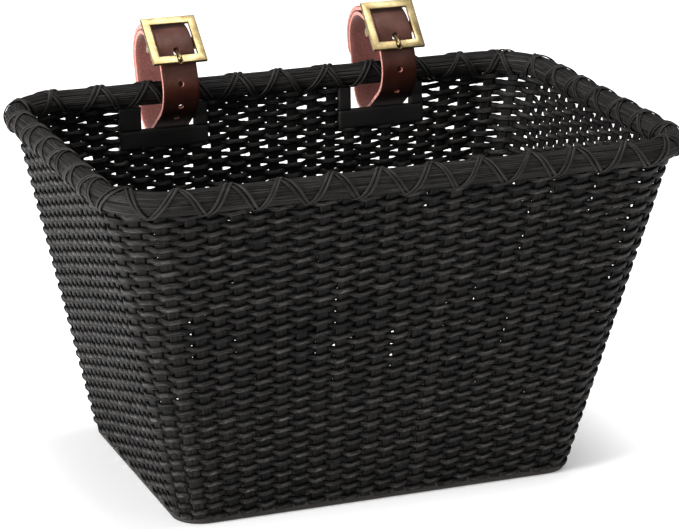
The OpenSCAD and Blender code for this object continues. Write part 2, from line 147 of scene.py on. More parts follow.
class Soup:
    """Collects swept quads with a grain map and a tone.

    The map's u runs along the strand and its v round it, in millimetres.
    """

    def __init__(self):
        self.verts, self.faces, self.uvs, self.tones, self.mats = [], [], [], [], []
        self.count = 0

    def sweep(self, rings, along, around, tone, closed=False, caps=(True, True), mats=None):
        """rings is stations x profile points x 3; along and around are the grain lengths."""
        n, m = rings.shape[:2]
        idx = np.arange(n * m).reshape(n, m) + self.count
        nxt = np.roll(idx, -1, axis=1)
        if closed:
            a, b, c, d = idx, nxt, np.roll(nxt, -1, axis=0), np.roll(idx, -1, axis=0)
            u0, u1 = along, np.append(along[1:], 2 * along[-1] - along[-2])
        else:
            a, b, c, d = idx[:-1], nxt[:-1], nxt[1:], idx[1:]
            u0, u1 = along[:-1], along[1:]
        quads = np.stack([a, b, c, d], axis=-1).reshape(-1, 4)
        v0, v1 = around[:-1], around[1:]
        shape = (len(u0), m)
        uu0 = np.broadcast_to(np.asarray(u0)[:, None], shape)
        uu1 = np.broadcast_to(np.asarray(u1)[:, None], shape)
        vv0 = np.broadcast_to(v0[None, :], shape)
        vv1 = np.broadcast_to(v1[None, :], shape)
        uv = np.stack([
            np.stack([uu0, vv0], -1), np.stack([uu0, vv1], -1),
            np.stack([uu1, vv1], -1), np.stack([uu1, vv0], -1),
        ], axis=2).reshape(-1, 4, 2)
        tone = np.broadcast_to(np.asarray(tone, float), (n,))
        self.verts.append(rings.reshape(-1, 3))
        self.tones.append(np.repeat(tone, m))
        self.faces.append(quads)
        self.uvs.append(uv)
        strip = np.zeros(m, int) if mats is None else np.asarray(mats)
        self.mats.append(np.broadcast_to(strip[None, :], shape).reshape(-1))
        if not closed:
            for end, on in ((0, caps[0]), (n - 1, caps[1])):
                if not on:
                    continue
                ring = idx[end] if end else idx[end][::-1]
                mid = rings[end].mean(axis=0)
                self.verts.append(mid[None, :])
                self.tones.append(tone[end:end + 1])
                hub = self.count + n * m
                self.count += 1
                tri = np.stack([ring, np.roll(ring, -1), np.full(m, hub), np.full(m, hub)], -1)
                self.faces.append(tri)
                self.uvs.append(np.zeros((m, 4, 2)) + along[end])
                self.mats.append(np.full(m, strip[0]))
        self.count += n * m
        return self

    def build(self, name, materials, smooth=True):
        verts = np.concatenate(self.verts) * MM
        quads = np.concatenate(self.faces)
        uvs = np.concatenate(self.uvs)
        tri = quads[:, 2] == quads[:, 3]
        sizes = np.where(tri, 3, 4)
        keep = np.ones(quads.shape, bool)
        keep[tri, 3] = False
        mesh = bpy.data.meshes.new(name)
        mesh.vertices.add(len(verts))
        mesh.vertices.foreach_set("co", verts.astype(np.float32).ravel())
        loops = quads[keep]
        mesh.loops.add(len(loops))
        mesh.loops.foreach_set("vertex_index", loops.astype(np.int32))
        mesh.polygons.add(len(quads))
        starts = np.concatenate([[0], np.cumsum(sizes)[:-1]])
        mesh.polygons.foreach_set("loop_start", starts.astype(np.int32))
        mesh.polygons.foreach_set("material_index", np.concatenate(self.mats).astype(np.int32))
        layer = mesh.uv_layers.new(name="grain")
        layer.data.foreach_set("uv", uvs[keep].astype(np.float32).ravel())
        tone = mesh.attributes.new("tone", "FLOAT", "POINT")
        tone.data.foreach_set("value", np.concatenate(self.tones).astype(np.float32))
        mesh.update(calc_edges=True)
        mesh.validate()
        mesh.polygons.foreach_set("use_smooth", np.full(len(mesh.polygons), smooth))
        for m in materials:
            mesh.materials.append(m)
        obj = bpy.data.objects.new(name, mesh)
        bpy.context.scene.collection.objects.link(obj)
        return obj


def oval(w, t, n=8, power=2.6):
    """Flat-oval profile: n points (across, out), with the grain lengths round it."""
    a = np.linspace(0, 2 * np.pi, n, endpoint=False) + np.pi / n
    c, s = np.cos(a), np.sin(a)
    e = 2 / power
    p = np.stack([np.sign(c) * np.abs(c) ** e * w / 2, np.sign(s) * np.abs(s) ** e * t / 2], -1)
    step = np.linalg.norm(np.roll(p, -1, 0) - p, axis=1)
    return p, np.concatenate([[0], np.cumsum(step)])


def rings_of(centres, across, out, profile):
    """Profile points set on each station: across and out are unit vectors, one for each station."""
    return (
        centres[:, None, :]
        + profile[None, :, 0:1] * across[:, None, :]
        + profile[None, :, 1:2] * out[:, None, :]
    )


def unit_rows(v):
    return v / np.maximum(np.linalg.norm(v, axis=-1, keepdims=True), 1e-9)


def smooth_noise(n, knots, size, closed=True):
    """Seeded smooth noise of n values with that many knots."""
    k = rng.normal(0, size, knots)
    x = np.linspace(0, knots, n, endpoint=False)
    i = np.floor(x).astype(int)
    f = x - i
    f = f * f * (3 - 2 * f)
    j = (i + 1) % knots if closed else np.minimum(i + 1, knots - 1)
    return k[i % knots] * (1 - f) + k[j] * f


# ---------------------------------------------------------------- materials

class Nodes:
    """Small helper round one material's node tree."""

    def __init__(self, name):
        self.mat = bpy.data.materials.new(name)
        self.mat.use_nodes = True
        self.tree = self.mat.node_tree
        self.tree.nodes.clear()
        self.out = self.tree.nodes.new("ShaderNodeOutputMaterial")
        self.shader = self.tree.nodes.new("ShaderNodeBsdfPrincipled")
        self.link(self.shader.outputs[0], self.out.inputs["Surface"])

    def link(self, a, b):
        self.tree.links.new(a, b)

    def add(self, kind, **values):
        node = self.tree.nodes.new(kind)
        for key, value in values.items():
            setattr(node, key, value)
        return node

    def feed(self, node, socket, value):
        target = node.inputs[socket]
        if isinstance(value, bpy.types.NodeSocket):
            self.link(value, target)
        else:
            target.default_value = value
        return node

    def scaled(self, source, scale):
        m = self.add("ShaderNodeMapping")
        self.feed(m, "Vector", source)
        m.inputs["Scale"].default_value = scale
        return m.outputs[0]

    def noise(self, vector, scale, detail=3.0, rough=0.5):
        n = self.add("ShaderNodeTexNoise")
        self.feed(n, "Vector", vector)
        n.inputs["Scale"].default_value = scale
        n.inputs["Detail"].default_value = detail
        n.inputs["Roughness"].default_value = rough
        return n.outputs["Fac"]

    def cells(self, vector, scale, feature="F1"):
        n = self.add("ShaderNodeTexVoronoi", feature=feature)
        self.feed(n, "Vector", vector)
        n.inputs["Scale"].default_value = scale
        return n.outputs["Distance"]

    def ramp(self, value, *stops):
        r = self.add("ShaderNodeValToRGB")
        self.feed(r, "Fac", value)
        e = r.color_ramp.elements
        while len(e) < len(stops):
            e.new(0.5)
        for k, (at, colour) in enumerate(stops):
            e[k].position = at
            e[k].color = (*colour, 1)
        return r.outputs[0]

    def math(self, op, a, b):
        m = self.add("ShaderNodeMath", operation=op)
        self.feed(m, 0, a)
        self.feed(m, 1, b)
        return m.outputs[0]

    def remap(self, value, low, high):
        m = self.add("ShaderNodeMapRange")
        self.feed(m, "Value", value)
        m.inputs["To Min"].default_value = low
        m.inputs["To Max"].default_value = high
        return m.outputs[0]

    def blend(self, factor, a, b, mode="MIX"):
        m = self.add("ShaderNodeMix", data_type="RGBA", blend_type=mode)
        self.feed(m, 0, factor)
        self.feed(m, 6, a)
        self.feed(m, 7, b)
        return m.outputs[2]

    def bump(self, *layers):
        """Each layer is (height, strength, distance in metres)."""
        normal = None
        for height, strength, distance in layers:
            b = self.add("ShaderNodeBump")
            self.feed(b, "Height", height)
            b.inputs["Strength"].default_value = strength
            b.inputs["Distance"].default_value = distance
            if normal is not None:
                self.link(normal, b.inputs["Normal"])
            normal = b.outputs[0]
        self.link(normal, self.shader.inputs["Normal"])

    def set(self, **values):
        for key, value in values.items():
            self.feed(self.shader, key.replace("_", " "), value)
        return self.mat

    def grain(self):
        return self.add("ShaderNodeUVMap", uv_map="grain").outputs[0]

    def tone(self):
        return self.add("ShaderNodeAttribute", attribute_name="tone").outputs["Fac"]

    def place(self):
        return self.add("ShaderNodeTexCoord").outputs["Object"]


def cane_material(name, dark, mid, light, gloss=0.50, fibre=0.6, wrap=None):
    """Dyed rattan: fibres along the strand, duller worn streaks and a tone for each strand (in the weave the
    tone also carries painted shade at the crossings); with wrap given, painted shade along both edges of the
    strand and a painted lighter middle.
    """
    n = Nodes(name)
    grain, tone = n.grain(), n.tone()
    shift = n.add("ShaderNodeVectorMath", operation="ADD")
    n.link(n.scaled(grain, (0.035, 1.0, 1.0)), shift.inputs[0])
    n.link(tone, shift.inputs[1])
    fibres = n.noise(shift.outputs[0], 1.15, 5.0, 0.72)
    streaks = n.noise(n.scaled(shift.outputs[0], (1.0, 0.35, 1.0)), 1.4, 3.0, 0.6)
    dust = n.noise(n.place(), 900.0, 2.0, 0.6)
    colour = n.ramp(fibres, (0.36, dark), (0.50, mid), (0.66, light))
    faded = n.blend(n.remap(streaks, -0.45, 0.75), colour, (*light, 1))
    toned = n.blend(1.0, faded, tone, "MULTIPLY")
    if wrap:
        # painted shade: the strand is darkened along both edges, where the rows meet, and lightened across
        # the middle of its faces, to paint in the shading of a rounded strand
        across = n.add("ShaderNodeSeparateXYZ")
        n.link(grain, across.inputs[0])
        wave = n.math("SINE", n.math("MULTIPLY", across.outputs[1], 2 * math.pi / wrap), 0.0)
        face = n.math("ABSOLUTE", wave, 0.0)
        painted_edge_shade = n.ramp(face, (0.25, (0.10,) * 3), (0.62, (0.75,) * 3), (0.95, (1.25,) * 3))
        toned = n.blend(1.0, toned, painted_edge_shade, "MULTIPLY")
    speck = n.blend(1.0, toned, n.remap(dust, 0.82, 1.2), "MULTIPLY")
    n.bump((streaks, 0.45, 0.0008), (fibres, fibre, 0.0007), (dust, 0.12, 0.0002))
    return n.set(
        Base_Color=speck,
        Roughness=n.remap(fibres, gloss + 0.16, gloss - 0.12),
        Specular_IOR_Level=0.07,
    )


def plate_material():
    """Smooth, thickly dyed flat cane of the slot frames."""
    n = Nodes("slot_frame")
    grain = n.grain()
    lines = n.noise(n.scaled(grain, (0.02, 0.5, 1.0)), 2.2, 3.0, 0.5)
    cloud = n.noise(n.place(), 160.0, 3.0, 0.6)
    colour = n.ramp(lines, (0.3, (0.0065, 0.006, 0.0058)), (0.75, (0.013, 0.012, 0.0115)))
    n.bump((lines, 0.18, 0.0004), (cloud, 0.1, 0.0003))
    return n.set(Base_Color=colour, Roughness=n.remap(cloud, 0.45, 0.65), Specular_IOR_Level=0.15)


def board_material():
    """Stained wooden board: long grain, pores and slightly rubbed lighter patches."""
    n = Nodes("board")
    place = n.place()
    rings = n.noise(n.scaled(place, (14.0, 190.0, 190.0)), 1.0, 5.0, 0.6)
    pores = n.noise(n.scaled(place, (60.0, 1400.0, 1400.0)), 1.0, 2.0, 0.5)
    rub = n.noise(place, 22.0, 4.0, 0.6)
    colour = n.ramp(
        rings, (0.3, (0.007, 0.0055, 0.0045)), (0.55, (0.013, 0.010, 0.008)), (0.8, (0.024, 0.017, 0.013))
    )
    worn = n.blend(n.remap(rub, -0.5, 0.45), colour, (0.034, 0.024, 0.018, 1))
    n.bump((rings, 0.2, 0.0006), (pores, 0.3, 0.0003))
    return n.set(Base_Color=worn, Roughness=n.remap(rub, 0.62, 0.42), Specular_IOR_Level=0.35)


def leather_grain():
    """Finished side: deep red-brown, fine pores, painted shade lower down, a painted mauve sheen higher up,
    and a waxed gloss.
    """
    n = Nodes("leather_grain")
    place = n.place()
    cloud = n.noise(place, 55.0, 4.0, 0.6)
    pores = n.cells(place, 2300.0)
    creases = n.noise(n.scaled(place, (1.0, 3.0, 3.0)), 420.0, 4.0, 0.6)
    colour = n.ramp(
        cloud,
        (0.28, (0.020, 0.0042, 0.0027)), (0.5, (0.034, 0.0068, 0.0042)), (0.78, (0.056, 0.0130, 0.0085)),
    )
    height = n.add("ShaderNodeSeparateXYZ")
    n.link(place, height.inputs[0])
    rise = n.add("ShaderNodeMapRange")
    n.link(height.outputs[2], rise.inputs["Value"])
    rise.inputs["From Min"].default_value, rise.inputs["From Max"].default_value = 0.196, 0.250
    # painted light: the colour is darkened towards the bottom of the strap as painted shade, where it hangs
    # into the basket, and turned mauve-pale towards the top as a painted sheen
    painted_shade_and_sheen = n.ramp(
        rise.outputs[0], (0.0, (0.42, 0.80, 0.80)), (0.22, (0.62, 0.9, 0.9)), (0.38, (0.85, 0.85, 0.65)),
        (0.58, (1.7, 3.6, 4.4)), (0.95, (1.9, 3.9, 4.8))
    )
    shaded = n.blend(1.0, colour, painted_shade_and_sheen, "MULTIPLY")
    fine = n.blend(1.0, shaded, n.remap(creases, 0.8, 1.2), "MULTIPLY")
    n.bump((creases, 0.14, 0.0004), (pores, 0.22, 0.00018))
    return n.set(
        Base_Color=fine,
        Roughness=n.ramp(rise.outputs[0], (0.15, (0.95, 0.95, 0.95)), (0.60, (0.42, 0.42, 0.42))),
        Specular_IOR_Level=0.07,
    )


def leather_flesh():
    """Rough inside: mauve-pink, napped and speckled."""
    n = Nodes("leather_flesh")
    place = n.place()
    nap = n.noise(place, 1500.0, 4.0, 0.7)
    cloud = n.noise(place, 90.0, 3.0, 0.6)
    colour = n.ramp(
        nap, (0.28, (0.10, 0.028, 0.023)), (0.52, (0.24, 0.082, 0.068)), (0.76, (0.42, 0.185, 0.160))
    )
    tinted = n.blend(1.0, colour, n.remap(cloud, 0.75, 1.2), "MULTIPLY")
    n.bump((nap, 0.6, 0.0005),)
    return n.set(
        Base_Color=tinted, Roughness=0.9, Specular_IOR_Level=0.2, Sheen_Weight=0.25, Sheen_Roughness=0.5
    )


def leather_edge():
    """Cut edge: raw pink leather with layered fibres."""
    n = Nodes("leather_edge")
    layers = n.noise(n.scaled(n.place(), (2600.0, 500.0, 500.0)), 1.0, 3.0, 0.6)
    colour = n.ramp(
        layers, (0.3, (0.33, 0.115, 0.092)), (0.55, (0.55, 0.235, 0.195)), (0.8, (0.70, 0.36, 0.30))
    )
    n.bump((layers, 0.4, 0.0004),)
    return n.set(Base_Color=colour, Roughness=0.72, Specular_IOR_Level=0.3)


def brass_material():
    """Antique brass: satin, finely speckled, patina in soft patches and paler rubbed spots."""
    n = Nodes("brass")
    place = n.place()
    speck = n.noise(place, 2600.0, 3.0, 0.7)
    patina = n.noise(place, 130.0, 5.0, 0.65)
    brush = n.noise(n.scaled(place, (300.0, 2400.0, 2400.0)), 1.0, 2.0, 0.5)
    colour = n.ramp(
        patina, (0.30, (0.14, 0.102, 0.046)), (0.52, (0.24, 0.184, 0.090)), (0.76, (0.36, 0.292, 0.162))
    )
    dotted = n.blend(1.0, colour, n.remap(speck, 0.66, 1.26), "MULTIPLY")
    n.bump((patina, 0.12, 0.0004), (speck, 0.22, 0.0002), (brush, 0.08, 0.0002))
    return n.set(Base_Color=dotted, Metallic=1.0, Roughness=n.remap(speck, 0.28, 0.5))


WEAVER = cane_material(
    "weaver", (0.0010, 0.0009, 0.0009), (0.0062, 0.0058, 0.0056), (0.048, 0.0440, 0.0420),
    wrap=oval(REED_W, REED_T)[1][-1],
)
# painted shade: the stake colours are set darker than the weavers', for the stakes lie behind the weave
STAKE = cane_material("stake", (0.0014, 0.0013, 0.0012), (0.0048, 0.0044, 0.0042), (0.018, 0.0162, 0.0155))
RIM = cane_material("rim_cane", (0.0014, 0.0013, 0.0012), (0.0066, 0.0061, 0.0059), (0.030, 0.0276, 0.0265))
LASH = cane_material(
    "lashing", (0.0035, 0.0032, 0.0030), (0.0110, 0.0102, 0.0097), (0.036, 0.0325, 0.0310), 0.44
)
PLATE = plate_material()
BOARD = board_material()
GRAIN, FLESH, EDGE = leather_grain(), leather_flesh(), leather_edge()
BRASS = brass_material()


def finish_piece(obj, body, slot, *nodes):
    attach(obj, body)
    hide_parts(*nodes)
    return obj


# ---------------------------------------------------------------- woven walls

def looseness(g, z):
    """Chance that two rows stand apart: the back's right and the right side are the loosest."""
    side = int(g) % 8
    if side == 4:
        return mix(0.56, 0.03, (g - 4) ** 0.7) * (1.0 if z > 60 else 0.6)
    if side in (2, 3):
        return 0.42
    if side == 6:
        return 0.06
    return 0.015 if side in (0, 7) else 0.04


def weave():
    names = [
        "front_weave", "front_right_corner_weave", "right_weave", "back_right_corner_weave",
        "back_weave_lower", "back_left_corner_weave", "left_weave", "front_left_corner_weave",
        "back_weave_right", "back_weave_middle", "back_weave_left",
    ]
    soups = [Soup() for _ in names]
    sites = 2 * STAKES
    lift = rng.normal(0, 0.14, (ROWS, sites))
    width = 1 + rng.normal(0, 0.035, (ROWS, sites))
    puff = rng.normal(0, 0.10, (ROWS, sites))
    site_g = np.stack([STAKE_G, (STAKE_G + np.append(STAKE_G[1:], 8 + STAKE_G[0])) / 2], -1).ravel()
    patches = rng.random((ROWS // 5 + 1, STAKES // 3 + 1))
    for r in range(ROWS - 1):
        z = ROW_FIRST + r * ROW_PITCH
        for k in range(STAKES):
            site = 2 * k + 1
            open_patch = 2.0 if patches[r // 5, k // 3] > 0.5 else 0.3
            if rng.random() < open_patch * looseness(site_g[site] % 8, z):
                part = rng.uniform(0.42, 0.74)
                lift[r, site] -= part
                lift[r + 1, site] += part
                width[r, site] *= 0.92
                width[r + 1, site] *= 0.92

    count = STAKES * STEPS
    u = np.arange(count) / STEPS
    half = 2 * u
    i0 = np.floor(half).astype(int) % sites
    i1 = (i0 + 1) % sites
    f = half - np.floor(half)
    f = np.clip((f - 0.25) / 0.5, 0, 1)
    f = f * f * (3 - 2 * f)
    profile, around = oval(REED_W, REED_T)

    for r in range(ROWS):
        z_row = ROW_FIRST + r * ROW_PITCH
        phase = np.pi * (u + r)
        swing = np.cos(phase)
        at_loose = (STAKE_G[(u.astype(int)) % STAKES] >= 2) & (STAKE_G[(u.astype(int)) % STAKES] < 5.5)
        lean = np.where(at_loose, REED_TILT_LOOSE, REED_TILT)
        z = z_row + mix(lift[r, i0], lift[r, i1], f) + 2 * lean * np.sin(phase) * np.abs(swing)
        z += smooth_noise(count, 16, 0.12)
        knots = loop_knots(*wall_shape(z_row))
        stake_s = np.interp(STAKE_G, np.arange(9), knots)
        ends = np.append(stake_s, stake_s[0] + knots[-1])
        s = np.interp(u, np.arange(STAKES + 1), ends)
        g = np.interp(np.mod(s, knots[-1]), knots, np.arange(9))
        x, y, nx, ny = loop_point(g, *wall_shape(z))
        x2, y2, _, _ = loop_point(g, *wall_shape(z + 1))
        out = REED_OUT * np.sign(swing) * np.abs(swing) ** 0.8 + mix(puff[r, i0], puff[r, i1], f)
        centres = np.stack([x + nx * out, y + ny * out, z], -1)
        along = unit_rows(np.roll(centres, -1, 0) - np.roll(centres, 1, 0))
        rise = np.stack([x2 - x, y2 - y, np.ones(count)], -1)
        outward = unit_rows(np.cross(along, rise))
        across = np.cross(outward, along)
        wide = mix(width[r, i0], width[r, i1], f) * (1.15 - 0.28 * swing ** 2)
        wide += CORNER_SWELL * (g.astype(int) % 2)
        thick = 1 + 0.10 * np.abs(swing)
        rings = (
            centres[:, None, :]
            + (profile[None, :, 0:1] * wide[:, None, None]) * across[:, None, :]
            + (profile[None, :, 1:2] * thick[:, None, None]) * outward[:, None, :]
        )
        # painted shade: each reed is darkened where it crosses between the stakes, through the wall, and left
        # lighter where it lies in front of or behind a stake; this is multiplied into the tone
        painted_crossing_shade = 0.30 + 0.95 * np.abs(swing) ** 1.2
        tone = (1 + rng.normal(0, 0.20) + smooth_noise(count, 60, 0.16)) * painted_crossing_shade
        grain_from = rng.uniform(0, 900)
        step = np.linalg.norm(np.roll(centres, -1, 0) - centres, axis=1)
        length = grain_from + np.concatenate([[0], np.cumsum(step)])
        label = np.minimum(g.astype(int), 7)
        back = label == 4
        if z_row > PLATE_Z + 0.5:
            label = np.where(back & (x > SLOT_X), 8, label)
            label = np.where(back & (np.abs(x) < SLOT_X), 9, label)
            label = np.where(back & (x < -SLOT_X), 10, label)
            label = np.where(back & (np.abs(np.abs(x) - SLOT_X) < FRAME_HALF - 2.4), -1, label)
        change = np.flatnonzero(label != np.roll(label, 1))
        for a, b in zip(change, np.append(change[1:], change[0] + count)):
            kind = label[a]
            if kind < 0:
                continue
            to_gap = label[b % count] < 0
            idx = np.arange(a, b + (0 if to_gap else 1))
            from_gap = label[a - 1] < 0
            soups[kind].sweep(
                rings[idx % count], length[idx % count] + (idx >= count) * (length[-1] - length[0]),
                around, tone[idx % count], caps=(from_gap, to_gap),
            )
    for name, soup in zip(names, soups):
        obj = soup.build("visual_" + name, [WEAVER])
        finish_piece(obj, "basket", "woven_rattan", name)


def stakes():
    sides = {0: "front_stakes", 2: "right_stakes", 4: "back_stakes", 6: "left_stakes"}
    soups = {}
    profile, around = oval(STAKE_W, STAKE_T, 12, 3.4)
    for g0 in STAKE_G:
        name = sides.get(int(g0), "corner_stakes")
        soup = soups.setdefault(name, Soup())
        top = STAKE_TOP
        if name == "back_stakes":
            x, _, _, _ = loop_point(np.array([g0]), *wall_shape(PLATE_Z))
            if abs(abs(x[0]) - SLOT_X) < FRAME_HALF + STAKE_W / 2:
                top = PLATE_Z - 0.5
        z = np.linspace(BOARD_T - 2.8, top, 34)
        g = np.full(len(z), g0)
        x, y, nx, ny = loop_point(g, *wall_shape(z))
        sway = smooth_noise(len(z), 7, 0.35, closed=False)
        centres = np.stack([x - ny * sway, y + nx * sway, z], -1)
        along = unit_rows(np.gradient(centres, axis=0))
        outward = np.stack([nx, ny, np.zeros_like(nx)], -1)
        outward = unit_rows(outward - along * np.sum(outward * along, -1, keepdims=True))
        across = np.cross(outward, along)
        rings = rings_of(centres, across, outward, profile)
        # painted shade: the tone's 0.8 middle darkens every stake, since the stakes lie behind the weavers
        tone = 0.8 + rng.normal(0, 0.15) + smooth_noise(len(z), 5, 0.08, closed=False)
        soup.sweep(rings, rng.uniform(0, 900) + z, around, tone)
    for name, soup in soups.items():
        obj = soup.build("visual_" + name, [STAKE])
        finish_piece(obj, "basket", "stakes", name)


# ---------------------------------------------------------------- base board

def base_board():
    # the first row of reed hides the board's upper edge
    half_x, half_y, r = BASE_X + 1.4, BASE_Y + 1.4, BASE_CORNER + 1.4
    g = np.concatenate([k + np.linspace(0, 1, 13 if k % 2 else 25)[:-1] for k in range(8)])
    inset = [(3.0, 0.0), (1.1, 0.0), (0.45, 0.2), (0.1, 0.7), (0.0, 1.4), (0.0, BOARD_T - 1.6),
             (0.15, BOARD_T - 0.8), (0.6, BOARD_T - 0.25), (1.4, BOARD_T), (3.2, BOARD_T)]
    mesh = bpy.data.meshes.new("visual_base_board")
    bm = bmesh.new()
    loops = []
    for d, z in inset:
        x, y, _, _ = loop_point(g, half_x - d, -half_y + d, half_y - d, r - d)
        loops.append([bm.verts.new((px * MM, py * MM, z * MM)) for px, py in zip(x, y)])
    for low, high in zip(loops, loops[1:]):
        for i in range(len(g)):
            j = (i + 1) % len(g)
            bm.faces.new((low[i], low[j], high[j], high[i])).smooth = True
    bm.faces.new(loops[0][::-1])
    bm.faces.new(loops[-1])
    bm.to_mesh(mesh)
    bm.free()
    mesh.materials.append(BOARD)
    obj = bpy.data.objects.new("visual_base_board", mesh)
    bpy.context.scene.collection.objects.link(obj)
    finish_piece(obj, "basket", "board", "base_board")


# ---------------------------------------------------------------- rim

RIM_LOOP = (RIM_X, -RIM_FRONT, RIM_BACK, RIM_CORNER)
RIM_LENGTH = loop_knots(*RIM_LOOP)[-1]


def rim_frame(s):
    """Centreline point, outward and forward unit vectors at path length s."""
    knots = loop_knots(*RIM_LOOP)
    g = np.interp(np.mod(s, RIM_LENGTH), knots, np.arange(9))
    x, y, nx, ny = loop_point(g, *RIM_LOOP)
    zero = np.zeros_like(x)
    return np.stack([x, y, zero + RIM_Z], -1), np.stack([nx, ny, zero], -1), np.stack([-ny, nx, zero], -1)


UP = np.array([0.0, 0.0, 1.0])
CANES, CANE_W, CANE_T, CANE_AT = 35, 1.32, 1.2, 6.52


def rim_bundle():
    soup = Soup()
    n = 216
    s = np.arange(n) * RIM_LENGTH / n
    p, outward, _ = rim_frame(s)
    profile, around = oval(CANE_W, CANE_T, 6, 2.2)
    for k in range(CANES):
        phi = 2 * np.pi * k / CANES + rng.normal(0, 0.012) + smooth_noise(n, 26, 0.030)
        at = CANE_AT + rng.normal(0, 0.10) + smooth_noise(n, 30, 0.10)
        at = np.minimum(at, RIM_R - CANE_T / 2)
        radial = np.cos(phi)[:, None] * outward + np.sin(phi)[:, None] * UP
        centres = p + at[:, None] * radial
        along = unit_rows(np.roll(centres, -1, 0) - np.roll(centres, 1, 0))
        across = unit_rows(np.cross(radial, along))
        rings = rings_of(centres, across, np.cross(along, across), profile)
        tone = 1 + rng.normal(0, 0.30) + smooth_noise(n, 30, 0.15)
        soup.sweep(rings, rng.uniform(0, 900) + s, around, tone, closed=True)
    a = np.linspace(0, 2 * np.pi, 24, endpoint=False)
    fill = CANE_AT + 0.26
    radial = np.cos(a)[None, :, None] * outward[:, None, :] + np.sin(a)[None, :, None] * UP
    tube = p[:, None, :] + fill * radial[:, ::-1]
    soup.sweep(tube, s, np.linspace(0, fill * 2 * np.pi, 25), 0.7, closed=True)
    obj = soup.build("visual_rim_bundle", [RIM])
    finish_piece(obj, "basket", "rim_cane", "rim_bundle")


LASH_TURNS, LASH_STEPS = 37, 30
STRAND_W, STRAND_T, STRAND_GAP = 1.75, 0.9, 2.7


def rim_lashing():
    """Two pairs of split cane strands, wound opposite ways, that cross on top of the rim and under it."""
    soup = Soup()
    n = LASH_TURNS * LASH_STEPS
    s = np.arange(n) * RIM_LENGTH / n
    profile, around = oval(STRAND_W, STRAND_T, 8, 2.6)
    for hand in (-1, 1):
        drift = smooth_noise(n, LASH_TURNS, 1.5)
        for strand in (-1, 1):
            own = smooth_noise(n, 2 * LASH_TURNS, 0.45)
            turn = 2 * np.pi * LASH_TURNS * s / RIM_LENGTH
            phi = math.radians(104) + hand * turn
            lag = drift + own + strand * STRAND_GAP / 2
            p, outward, _ = rim_frame(s + lag)
            crossing = np.abs(np.cos(turn)) ** 6
            lift = 0.62 * crossing if hand > 0 else 0
            lift = lift + np.maximum(smooth_noise(n, 3 * LASH_TURNS, 0.12), 0)
            at = RIM_R + 0.22 + lift + STRAND_T / 2 - 0.25
            radial = np.cos(phi)[:, None] * outward + np.sin(phi)[:, None] * UP
            centres = p + at[:, None] * radial
            along = unit_rows(np.roll(centres, -1, 0) - np.roll(centres, 1, 0))
            across = unit_rows(np.cross(radial, along))
            rings = rings_of(centres, across, np.cross(along, across), profile)
            tone = 1 + rng.normal(0, 0.12) + smooth_noise(n, 40, 0.12)
            step = np.linalg.norm(np.roll(centres, -1, 0) - centres, axis=1)
            grain_from = rng.uniform(0, 900)
            length = grain_from + np.concatenate([[0], np.cumsum(step)[:-1]])
            soup.sweep(rings, length, around, tone, closed=True)
    obj = soup.build("visual_rim_lashing", [LASH])
    finish_piece(obj, "basket", "lashing", "rim_lashing")


def rim_core():
    soup = Soup()
    n = 160
    s = np.arange(n) * RIM_LENGTH / n
    p, outward, _ = rim_frame(s)
    a = np.linspace(0, -2 * np.pi, 16, endpoint=False)
    radial = np.cos(a)[None, :, None] * outward[:, None, :] + np.sin(a)[None, :, None] * UP
    at = 3.1 + smooth_noise(n, 30, 0.05)
    soup.sweep(p[:, None, :] + at[:, None, None] * radial, s, np.linspace(0, 28, 17), 1.0, closed=True)
    finish_piece(soup.build("visual_rim_core", [STAKE]), "basket", "rim_core", "rim_core")


# ---------------------------------------------------------------- slot frames

LEAN = math.atan2(RIM_BACK - BASE_Y, RIM_Z)


def in_back_wall(points, z0):
    """Points in the back wall's own frame, from height z0, as row frame points."""
    c, s = math.cos(-LEAN), math.sin(-LEAN)
    x, y, z = points[..., 0], points[..., 1], points[..., 2]
    return np.stack([x, wall_back(z0) + y * c - z * s, z0 + y * s + z * c], -1)


def slot_frame(side, sign):
    plate, bands = Soup(), Soup()
    profile, around = oval(PLATE_H, FRAME_T, 24, 7.0)
    x = np.linspace(-FRAME_HALF, FRAME_HALF, 30)
    wave = smooth_noise(len(x), 6, 0.10, closed=False)
    centres = np.stack([sign * SLOT_X + x, wave, PLATE_H / 2 + 0 * x], -1)
    along = np.tile([1.0, 0.0, 0.0], (len(x), 1))
    across = np.tile([0.0, 0.0, 1.0], (len(x), 1))
    rings = rings_of(centres, across, np.cross(along, across), profile)
    plate.sweep(in_back_wall(rings, PLATE_Z), x, around, 1.0)
    obj = plate.build(f"visual_{side}_slot_plate", [PLATE])
    finish_piece(obj, "basket", "slot_frame", f"{side}_slot_plate")
    tall = RIM_Z - RIM_R - 0.4 - SLOT_Z - 0.25
    for k in (-1, 1):
        w = WIDE_BAND_W if sign < 0 and k < 0 else BAND_W
        profile, around = oval(w, FRAME_T, 24, 6.0)
        z = np.linspace(0.1, tall, 14)
        wave = smooth_noise(len(z), 5, 0.10, closed=False)
        mid = sign * SLOT_X + k * (FRAME_HALF - w / 2)
        centres = np.stack([mid + 0 * z, wave, z], -1)
        along = np.tile([0.0, 0.0, 1.0], (len(z), 1))
        outward = np.tile([0.0, 1.0, 0.0], (len(z), 1))
        rings = rings_of(centres, np.cross(outward, along), outward, profile)
        bands.sweep(in_back_wall(rings, SLOT_Z), z, around, 1.0)
    obj = bands.build(f"visual_{side}_slot_bands", [PLATE])
    finish_piece(obj, "basket", "slot_frame", f"{side}_slot_bands")


# ---------------------------------------------------------------- straps

STRAP_W, STRAP_T = 23.5, 2.8
BAR_D, BAR_Y, BAR_Z = 31.8, 125.0, 228.5
PIN_D = 3.0
PRONG_ANGLE = 32.8
CROWN_R = 24.6
